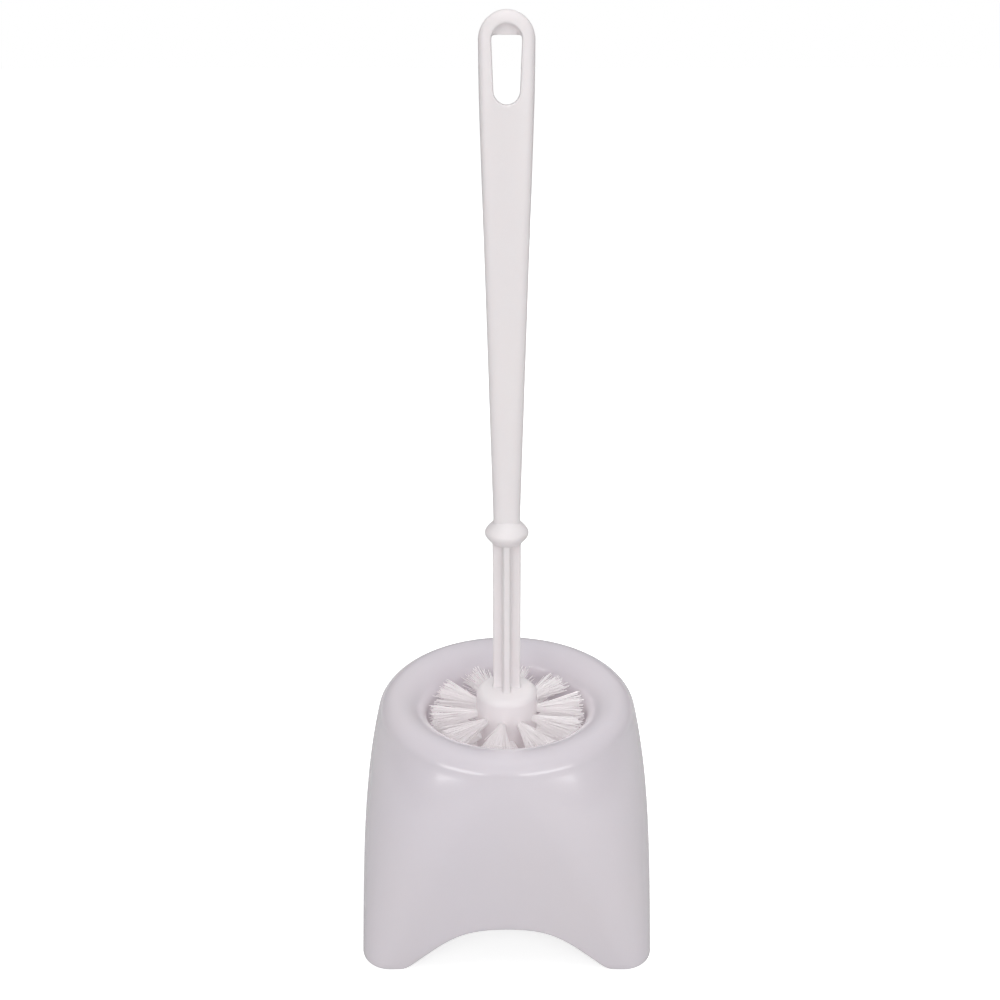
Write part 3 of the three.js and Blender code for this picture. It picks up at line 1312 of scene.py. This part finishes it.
@dataclass
class NodeWeaver:
    """Adds and links geometry nodes in one tree."""

    tree: bpy.types.NodeTree
    flare_power: float = 1.25
    bow_turn: float = 2.2
    root_depth: float = 2.6
    rim_shortening: float = 0.05

    def node(self, kind: str, **settings: object) -> bpy.types.Node:
        """Adds a node and sets its properties.

        Args:
            kind: The node's type.
            settings: Its properties.

        Returns:
            The node.
        """
        made = self.tree.nodes.new(kind)
        for key, value in settings.items():
            setattr(made, key, value)
        return made

    def link(self, source: object, target: bpy.types.NodeSocket) -> None:
        """Links a socket to an input, or sets the input if a plain value is given.

        Args:
            source: The socket or the value.
            target: The input.
        """
        if isinstance(source, bpy.types.NodeSocket):
            self.tree.links.new(source, target)
        else:
            target.default_value = source

    def maths(self, work: str, a: object, b: object = 0.0) -> bpy.types.NodeSocket:
        """One arithmetic step on two values.

        Args:
            work: The kind of step.
            a: The first value or socket.
            b: The second value or socket.

        Returns:
            The result.
        """
        made = self.node("ShaderNodeMath", operation=work)
        self.link(a, made.inputs[0])
        self.link(b, made.inputs[1])
        return made.outputs[0]

    def scale(self, vector: object, factor: object) -> bpy.types.NodeSocket:
        """A vector times a number.

        Args:
            vector: The vector.
            factor: The number.

        Returns:
            The scaled vector.
        """
        made = self.node("ShaderNodeVectorMath", operation="SCALE")
        self.link(vector, made.inputs[0])
        self.link(factor, made.inputs["Scale"])
        return made.outputs[0]

    def add(self, *vectors: object) -> bpy.types.NodeSocket:
        """The sum of some vectors.

        Args:
            vectors: The vectors.

        Returns:
            Their sum.
        """
        total = vectors[0]
        for vector in vectors[1:]:
            made = self.node("ShaderNodeVectorMath", operation="ADD")
            self.link(total, made.inputs[0])
            self.link(vector, made.inputs[1])
            total = made.outputs[0]
        return total

    def named(self, title: str, kind: str) -> bpy.types.NodeSocket:
        """Reads a named attribute.

        Args:
            title: The attribute's name.
            kind: Its data type.

        Returns:
            Its value.
        """
        made = self.node("GeometryNodeInputNamedAttribute", data_type=kind)
        made.inputs["Name"].default_value = title
        return made.outputs["Attribute"]

    def chance(self, low: float, high: float, seed: object, salt: int) -> bpy.types.NodeSocket:
        """A random number for each point, from the tree's seed and a fixed salt.

        Args:
            low: The least value.
            high: The greatest value.
            seed: The tree's seed.
            salt: What sets this draw apart from the others.

        Returns:
            The random number.
        """
        made = self.node("FunctionNodeRandomValue", data_type="FLOAT")
        made.inputs[2].default_value = low
        made.inputs[3].default_value = high
        self.link(self.maths("ADD", seed, float(salt)), made.inputs["Seed"])
        return made.outputs[1]

    def keep(self, geometry: object, title: str, kind: str, value: object) -> bpy.types.NodeSocket:
        """Stores a value on the points under a name.

        Args:
            geometry: The points.
            title: The name.
            kind: The value's data type.
            value: The value.

        Returns:
            The points with the value on them.
        """
        made = self.node("GeometryNodeStoreNamedAttribute", data_type=kind, domain="POINT")
        self.link(geometry, made.inputs["Geometry"])
        made.inputs["Name"].default_value = title
        self.link(value, made.inputs["Value"])
        return made.outputs[0]

    def weave(self, steps: int, sides: int) -> None:
        """Lays the whole tree.

        Args:
            steps: Points along each filament.
            sides: Sides of a filament's section.
        """
        given = self.node("NodeGroupInput").outputs
        moved = self.node("GeometryNodeSetPosition")
        self.link(self.plant(given, steps), moved.inputs["Geometry"])
        self.link(self.fanned(given), moved.inputs["Position"])
        self.thicken(moved.outputs[0], given, sides)

    def plant(self, given: object, steps: int) -> bpy.types.NodeSocket:
        """Copies each tuft point, keeps each copy's random draws and stands a curve on it.

        Args:
            given: The tree's inputs.
            steps: Points along each filament.

        Returns:
            The curves, still all alike.
        """
        copies = self.node("GeometryNodeDuplicateElements", domain="POINT")
        self.link(given["Geometry"], copies.inputs["Geometry"])
        self.link(given["Filaments"], copies.inputs["Amount"])
        spot, seed = copies.outputs[0], given["Seed"]
        turn = self.chance(0.0, FULL_TURN, seed, 1)
        radius = self.maths("SQRT", self.chance(0.0, 1.0, seed, 2))
        for title, work in (("spot_side", "COSINE"), ("spot_rise", "SINE")):
            across = self.maths("MULTIPLY", radius, self.maths(work, turn))
            spot = self.keep(spot, title, "FLOAT", across)
        draws = ("lean_side", "lean_rise", "stray_side", "stray_rise", "cut")
        for salt, title in enumerate(draws, start=3):
            spot = self.keep(spot, title, "FLOAT", self.chance(-1.0, 1.0, seed, salt))
        start = self.node("GeometryNodeInputPosition").outputs[0]
        spot = self.keep(spot, "start", "FLOAT_VECTOR", start)

        line = self.node("GeometryNodeCurvePrimitiveLine")
        line.inputs["End"].default_value = (0.0, 0.0, MM)
        fine = self.node("GeometryNodeResampleCurve")
        self.link(line.outputs[0], fine.inputs["Curve"])
        fine.inputs["Count"].default_value = steps
        planted = self.node("GeometryNodeInstanceOnPoints")
        self.link(spot, planted.inputs["Points"])
        self.link(fine.outputs[0], planted.inputs["Instance"])
        loose = self.node("GeometryNodeRealizeInstances")
        self.link(planted.outputs[0], loose.inputs[0])
        return loose.outputs[0]

    def fanned(self, given: object) -> bpy.types.NodeSocket:
        """Where each filament point lies in its fan, kept above the cup's floor.

        Args:
            given: The tree's inputs.

        Returns:
            The position.
        """
        t = self.node("GeometryNodeSplineParameter").outputs["Factor"]
        flared = self.maths("POWER", t, self.flare_power)
        wave = self.maths("SINE", self.maths("MULTIPLY", t, self.bow_turn))
        bow = self.maths("MULTIPLY", wave, t)
        root = -self.root_depth * MM
        away_from_axis = self.maths("ADD", self.squared("spot_side"), self.squared("spot_rise"))
        shorter = self.maths("MULTIPLY", away_from_axis, self.rim_shortening)
        shorter = self.maths("SUBTRACT", 1.0, shorter)
        full = self.maths("MULTIPLY", self.named("reach", "FLOAT"), shorter)
        cut = self.maths("MULTIPLY", self.named("cut", "FLOAT"), given["Uneven"])
        full = self.maths("ADD", full, cut)
        along = self.maths("MULTIPLY", t, self.maths("SUBTRACT", full, root))
        place = self.add(
            self.named("start", "FLOAT_VECTOR"),
            self.scale(self.named("away", "FLOAT_VECTOR"), self.maths("ADD", along, root)),
            *(
                self.scale(self.named(way, "FLOAT_VECTOR"), self.offset(way, flared, bow, given))
                for way in ("side", "rise")
            ),
        )
        parts = self.node("ShaderNodeSeparateXYZ")
        self.link(place, parts.inputs[0])
        whole = self.node("ShaderNodeCombineXYZ")
        self.link(parts.outputs[0], whole.inputs[0])
        self.link(parts.outputs[1], whole.inputs[1])
        self.link(self.maths("MAXIMUM", parts.outputs[2], given["Floor"]), whole.inputs[2])
        return whole.outputs[0]

    def thicken(self, curves: bpy.types.NodeSocket, given: object, sides: int) -> None:
        """Turns the curves into finished filaments and ends the tree.

        Args:
            curves: The fanned curves.
            given: The tree's inputs.
            sides: Sides of a filament's section.
        """
        section = self.node("GeometryNodeCurvePrimitiveCircle")
        section.inputs["Resolution"].default_value = sides
        self.link(given["Filament Radius"], section.inputs["Radius"])
        solid = self.node("GeometryNodeCurveToMesh")
        self.link(curves, solid.inputs["Curve"])
        self.link(section.outputs[0], solid.inputs["Profile Curve"])
        solid.inputs["Fill Caps"].default_value = True
        real = self.node("GeometryNodeRealizeInstances")
        self.link(solid.outputs[0], real.inputs[0])
        painted = self.node("GeometryNodeSetMaterial")
        self.link(real.outputs[0], painted.inputs["Geometry"])
        self.link(given["Finish"], painted.inputs["Material"])
        self.link(painted.outputs[0], self.node("NodeGroupOutput").inputs[0])

    def squared(self, title: str) -> bpy.types.NodeSocket:
        """A named number times itself."""
        value = self.named(title, "FLOAT")
        return self.maths("MULTIPLY", value, value)

    def offset(
        self, way: str, flared: object, bow: object, given: object
    ) -> bpy.types.NodeSocket:
        """How far a filament point lies from its tuft's axis, one way across.

        Args:
            way: Which way, "side" or "rise".
            flared: The flare's share at that place.
            bow: The bend's share at that place.
            given: The tree's inputs.

        Returns:
            The distance.
        """
        spot = self.named("spot_" + way, "FLOAT")
        root = self.maths("MULTIPLY", spot, given["Root Radius"])
        wide = self.maths("MULTIPLY", spot, self.named("fan_" + way, "FLOAT"))
        wide = self.maths("SUBTRACT", wide, root)
        bent = self.maths("MULTIPLY", self.named("lean_" + way, "FLOAT"), given["Bend"])
        stray = self.maths("MULTIPLY", self.named("stray_" + way, "FLOAT"), given["Bend"])
        total = self.maths("ADD", root, self.maths("MULTIPLY", wide, flared))
        total = self.maths("ADD", total, self.maths("MULTIPLY", bent, bow))
        return self.maths("ADD", total, self.maths("MULTIPLY", stray, flared))


@dataclass
class BristleHead:
    """All tufts of the brush, one piece for each ring and one for the end cluster."""

    layout: TuftLayout = field(default_factory=TuftLayout)
    growth: BristleField = field(default_factory=BristleField)
    upper_rings: int = 2
    upper_count: int = 92
    lower_count: int = 72
    first_seed: int = 11
    seed_step: int = 31

    def build(
        self, finish: bpy.types.Material
    ) -> dict[str, tuple[bpy.types.Object, list[str]]]:
        """Grows every ring and the end cluster.

        Args:
            finish: The filament material.

        Returns:
            Each piece with the CAD nodes it stands for.
        """
        layout = self.layout
        made: dict[str, tuple[bpy.types.Object, list[str]]] = {}
        for n in range(layout.rings + 1):
            if n < layout.rings:
                name, places = f"bristle_ring_{n + 1}", layout.ring(n)
                nodes = [f"tuft_ring{n + 1}_{k + 1:02d}" for k in range(layout.per_ring)]
            else:
                name, places = "bristle_end", layout.end()
                nodes = [f"tuft_end_{k + 1:02d}" for k in range(layout.end_tufts)]
                nodes.append("tuft_end_centre")
            count = self.upper_count if n < self.upper_rings else self.lower_count
            seed = self.first_seed + self.seed_step * n
            made[name] = (
                self.growth.grow(name, places, count, layout.floor, seed, finish), nodes
            )
        return made

    def dress(self, made: dict[str, tuple[bpy.types.Object, list[str]]]) -> None:
        """Ties every bristle piece to the frame."""
        for piece, nodes in made.values():
            settle(piece, Body.BRUSH, nodes)


# ---------------------------------------------------------------- studio


@dataclass(frozen=True)
class Lamp:
    """A soft rectangular light: its place and size in metres, its power in watts.

    A lamp that shines is mirrored by glossy surfaces; the others only light them.
    """

    name: str
    at: tuple[float, float, float]
    size: tuple[float, float]
    power: float
    shines: bool = False


@dataclass
class Studio:
    """Pale floor, soft lights and the camera."""

    camera_back: float = 0.45
    camera_up: float = 0.3722
    pitch: float = 21.31
    focal: float = 1125.0
    axis_aside: float = 6.7
    frame: float = 1000.0
    sensor: float = 36.0
    aim: tuple[float, float, float] = (0.0, 0.0, 0.12)
    floor_reach: float = 60.0
    floor_tones: tuple[float, float] = (0.60, 0.62)
    lamps: tuple[Lamp, ...] = (
        Lamp("softbox_left", (-0.88, -1.2, 0.49), (1.0, 0.4), 3.7, shines=True),
        Lamp("softbox_right", (0.78, -1.27, 0.49), (1.2, 0.4), 4.4, shines=True),
        Lamp("strip", (0.1, -0.15, 1.9), (1.4, 0.5), 6.4),
        Lamp("front", (0.0, -2.2, 1.9), (2.4, 1.2), 24.0),
        Lamp("high", (0.1, -1.0, 2.6), (3.0, 1.8), 11.0),
        Lamp("overhead", (0.0, 0.4, 3.2), (2.4, 2.0), 20.0),
        Lamp("rear", (0.0, 2.3, 1.5), (2.4, 1.2), 25.0),
        Lamp("side_left", (-2.3, 0.7, 1.0), (1.2, 1.0), 6.0),
        Lamp("side_right", (2.3, 0.7, 1.0), (1.2, 1.0), 4.5),
    )

    def floor(self) -> None:
        """Lays the pale floor, which the camera sees fade to white away from the set."""
        mesh = bpy.data.meshes.new("studio_floor")
        far = self.floor_reach
        corners = [(-far, -far, 0.0), (far, -far, 0.0), (far, far, 0.0), (-far, far, 0.0)]
        mesh.from_pydata(corners, [], [(0, 1, 2, 3)])
        material, tree, shader, place = new_finish("studio_floor_white")
        low, high = self.floor_tones
        tint(tree, add_noise(tree, place, 3.0, 2.0, 0.5), (low, low, low), (high, high, high))
        set_inputs(shader, {
            "Roughness": 0.9, "Specular IOR Level": 0.1, "Emission Color": (1.0, 1.0, 1.0, 1.0),
        })
        away = tree.nodes.new("ShaderNodeVectorMath")
        away.operation = "LENGTH"
        tree.links.new(place, away.inputs[0])
        path = tree.nodes.new("ShaderNodeLightPath")
        lift = tree.nodes.new("ShaderNodeMath")
        lift.operation = "MULTIPLY"
        tree.links.new(path.outputs["Is Camera Ray"], lift.inputs[0])
        share = spread(tree, away.outputs["Value"], 0.2, 0.9, 0.74, 1.0)
        tree.links.new(share, lift.inputs[1])
        tree.links.new(lift.outputs[0], shader.inputs["Emission Strength"])
        mesh.materials.append(material)
        new_object("studio_floor", mesh)

    def light(self, lamp: Lamp) -> None:
        """Adds one soft light, facing the middle of the set.

        Args:
            lamp: What to add.
        """
        data = bpy.data.lights.new(lamp.name, "AREA")
        data.shape = "RECTANGLE"
        data.size, data.size_y = lamp.size
        data.energy = lamp.power
        made = new_object(lamp.name, data)
        made.location = lamp.at
        way = Vector(self.aim) - Vector(lamp.at)
        made.rotation_mode = "QUATERNION"
        made.rotation_quaternion = way.to_track_quat("-Z", "Y")
        made.visible_camera = False
        made.visible_glossy = lamp.shines

    def sky(self) -> None:
        """Surrounds the set with white for the camera and a dim, even fill for the rest."""
        world = bpy.data.worlds.new("studio_sky")
        world.use_nodes = True
        tree = world.node_tree
        tree.nodes.clear()
        path = tree.nodes.new("ShaderNodeLightPath")
        mix = tree.nodes.new("ShaderNodeMixShader")
        tree.links.new(path.outputs["Is Camera Ray"], mix.inputs["Fac"])
        for place, colour, strength in (
            (1, (0.95, 0.94, 1.0, 1.0), 0.05), (2, (1.0, 1.0, 1.0, 1.0), 1.0),
        ):
            glow = tree.nodes.new("ShaderNodeBackground")
            set_inputs(glow, {"Color": colour, "Strength": strength})
            tree.links.new(glow.outputs[0], mix.inputs[place])
        out = tree.nodes.new("ShaderNodeOutputWorld")
        tree.links.new(mix.outputs[0], out.inputs["Surface"])
        bpy.context.scene.world = world

    def camera(self) -> None:
        """Sets the camera."""
        data = bpy.data.cameras.new("camera")
        data.sensor_width = self.sensor
        data.lens = self.focal * self.sensor / self.frame
        data.shift_x = -self.axis_aside / self.frame
        data.clip_start = 0.01
        eye = new_object("camera", data)
        eye.location = (0.0, -self.camera_back, self.camera_up)
        eye.rotation_euler = (math.radians(90.0 - self.pitch), 0.0, 0.0)
        bpy.context.scene.camera = eye

    def build(self) -> None:
        """Builds the whole studio."""
        self.floor()
        self.sky()
        for lamp in self.lamps:
            self.light(lamp)
        self.camera()
        bpy.context.scene.view_settings.view_transform = "Standard"


# ---------------------------------------------------------------- assembly


def main() -> None:
    logging.basicConfig(level=logging.INFO, format="%(name)s: %(message)s")
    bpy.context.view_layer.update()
    holder_finish = MouldedPlastic(
        "holder_polypropylene", (0.745, 0.70, 0.755), (0.765, 0.715, 0.745), roughness=0.22
    ).make()
    brush_finish = MouldedPlastic(
        "brush_polypropylene", (0.91, 0.865, 0.88), (0.925, 0.875, 0.875), roughness=0.36,
        coat=0.12,
    ).make()
    bristle_finish = Filament("bristle_filament", (0.98, 0.945, 0.955), (0.90, 0.84, 0.86)).make()

    holder = HolderShell()
    holder.dress(holder.build(), holder_finish)

    head = BristleHead()
    moulding = BrushMoulding()
    moulding.dress(moulding.build(head.layout.every()), brush_finish)
    head.dress(head.build(bristle_finish))

    Studio().build()


if __name__ == "__main__":
    main()
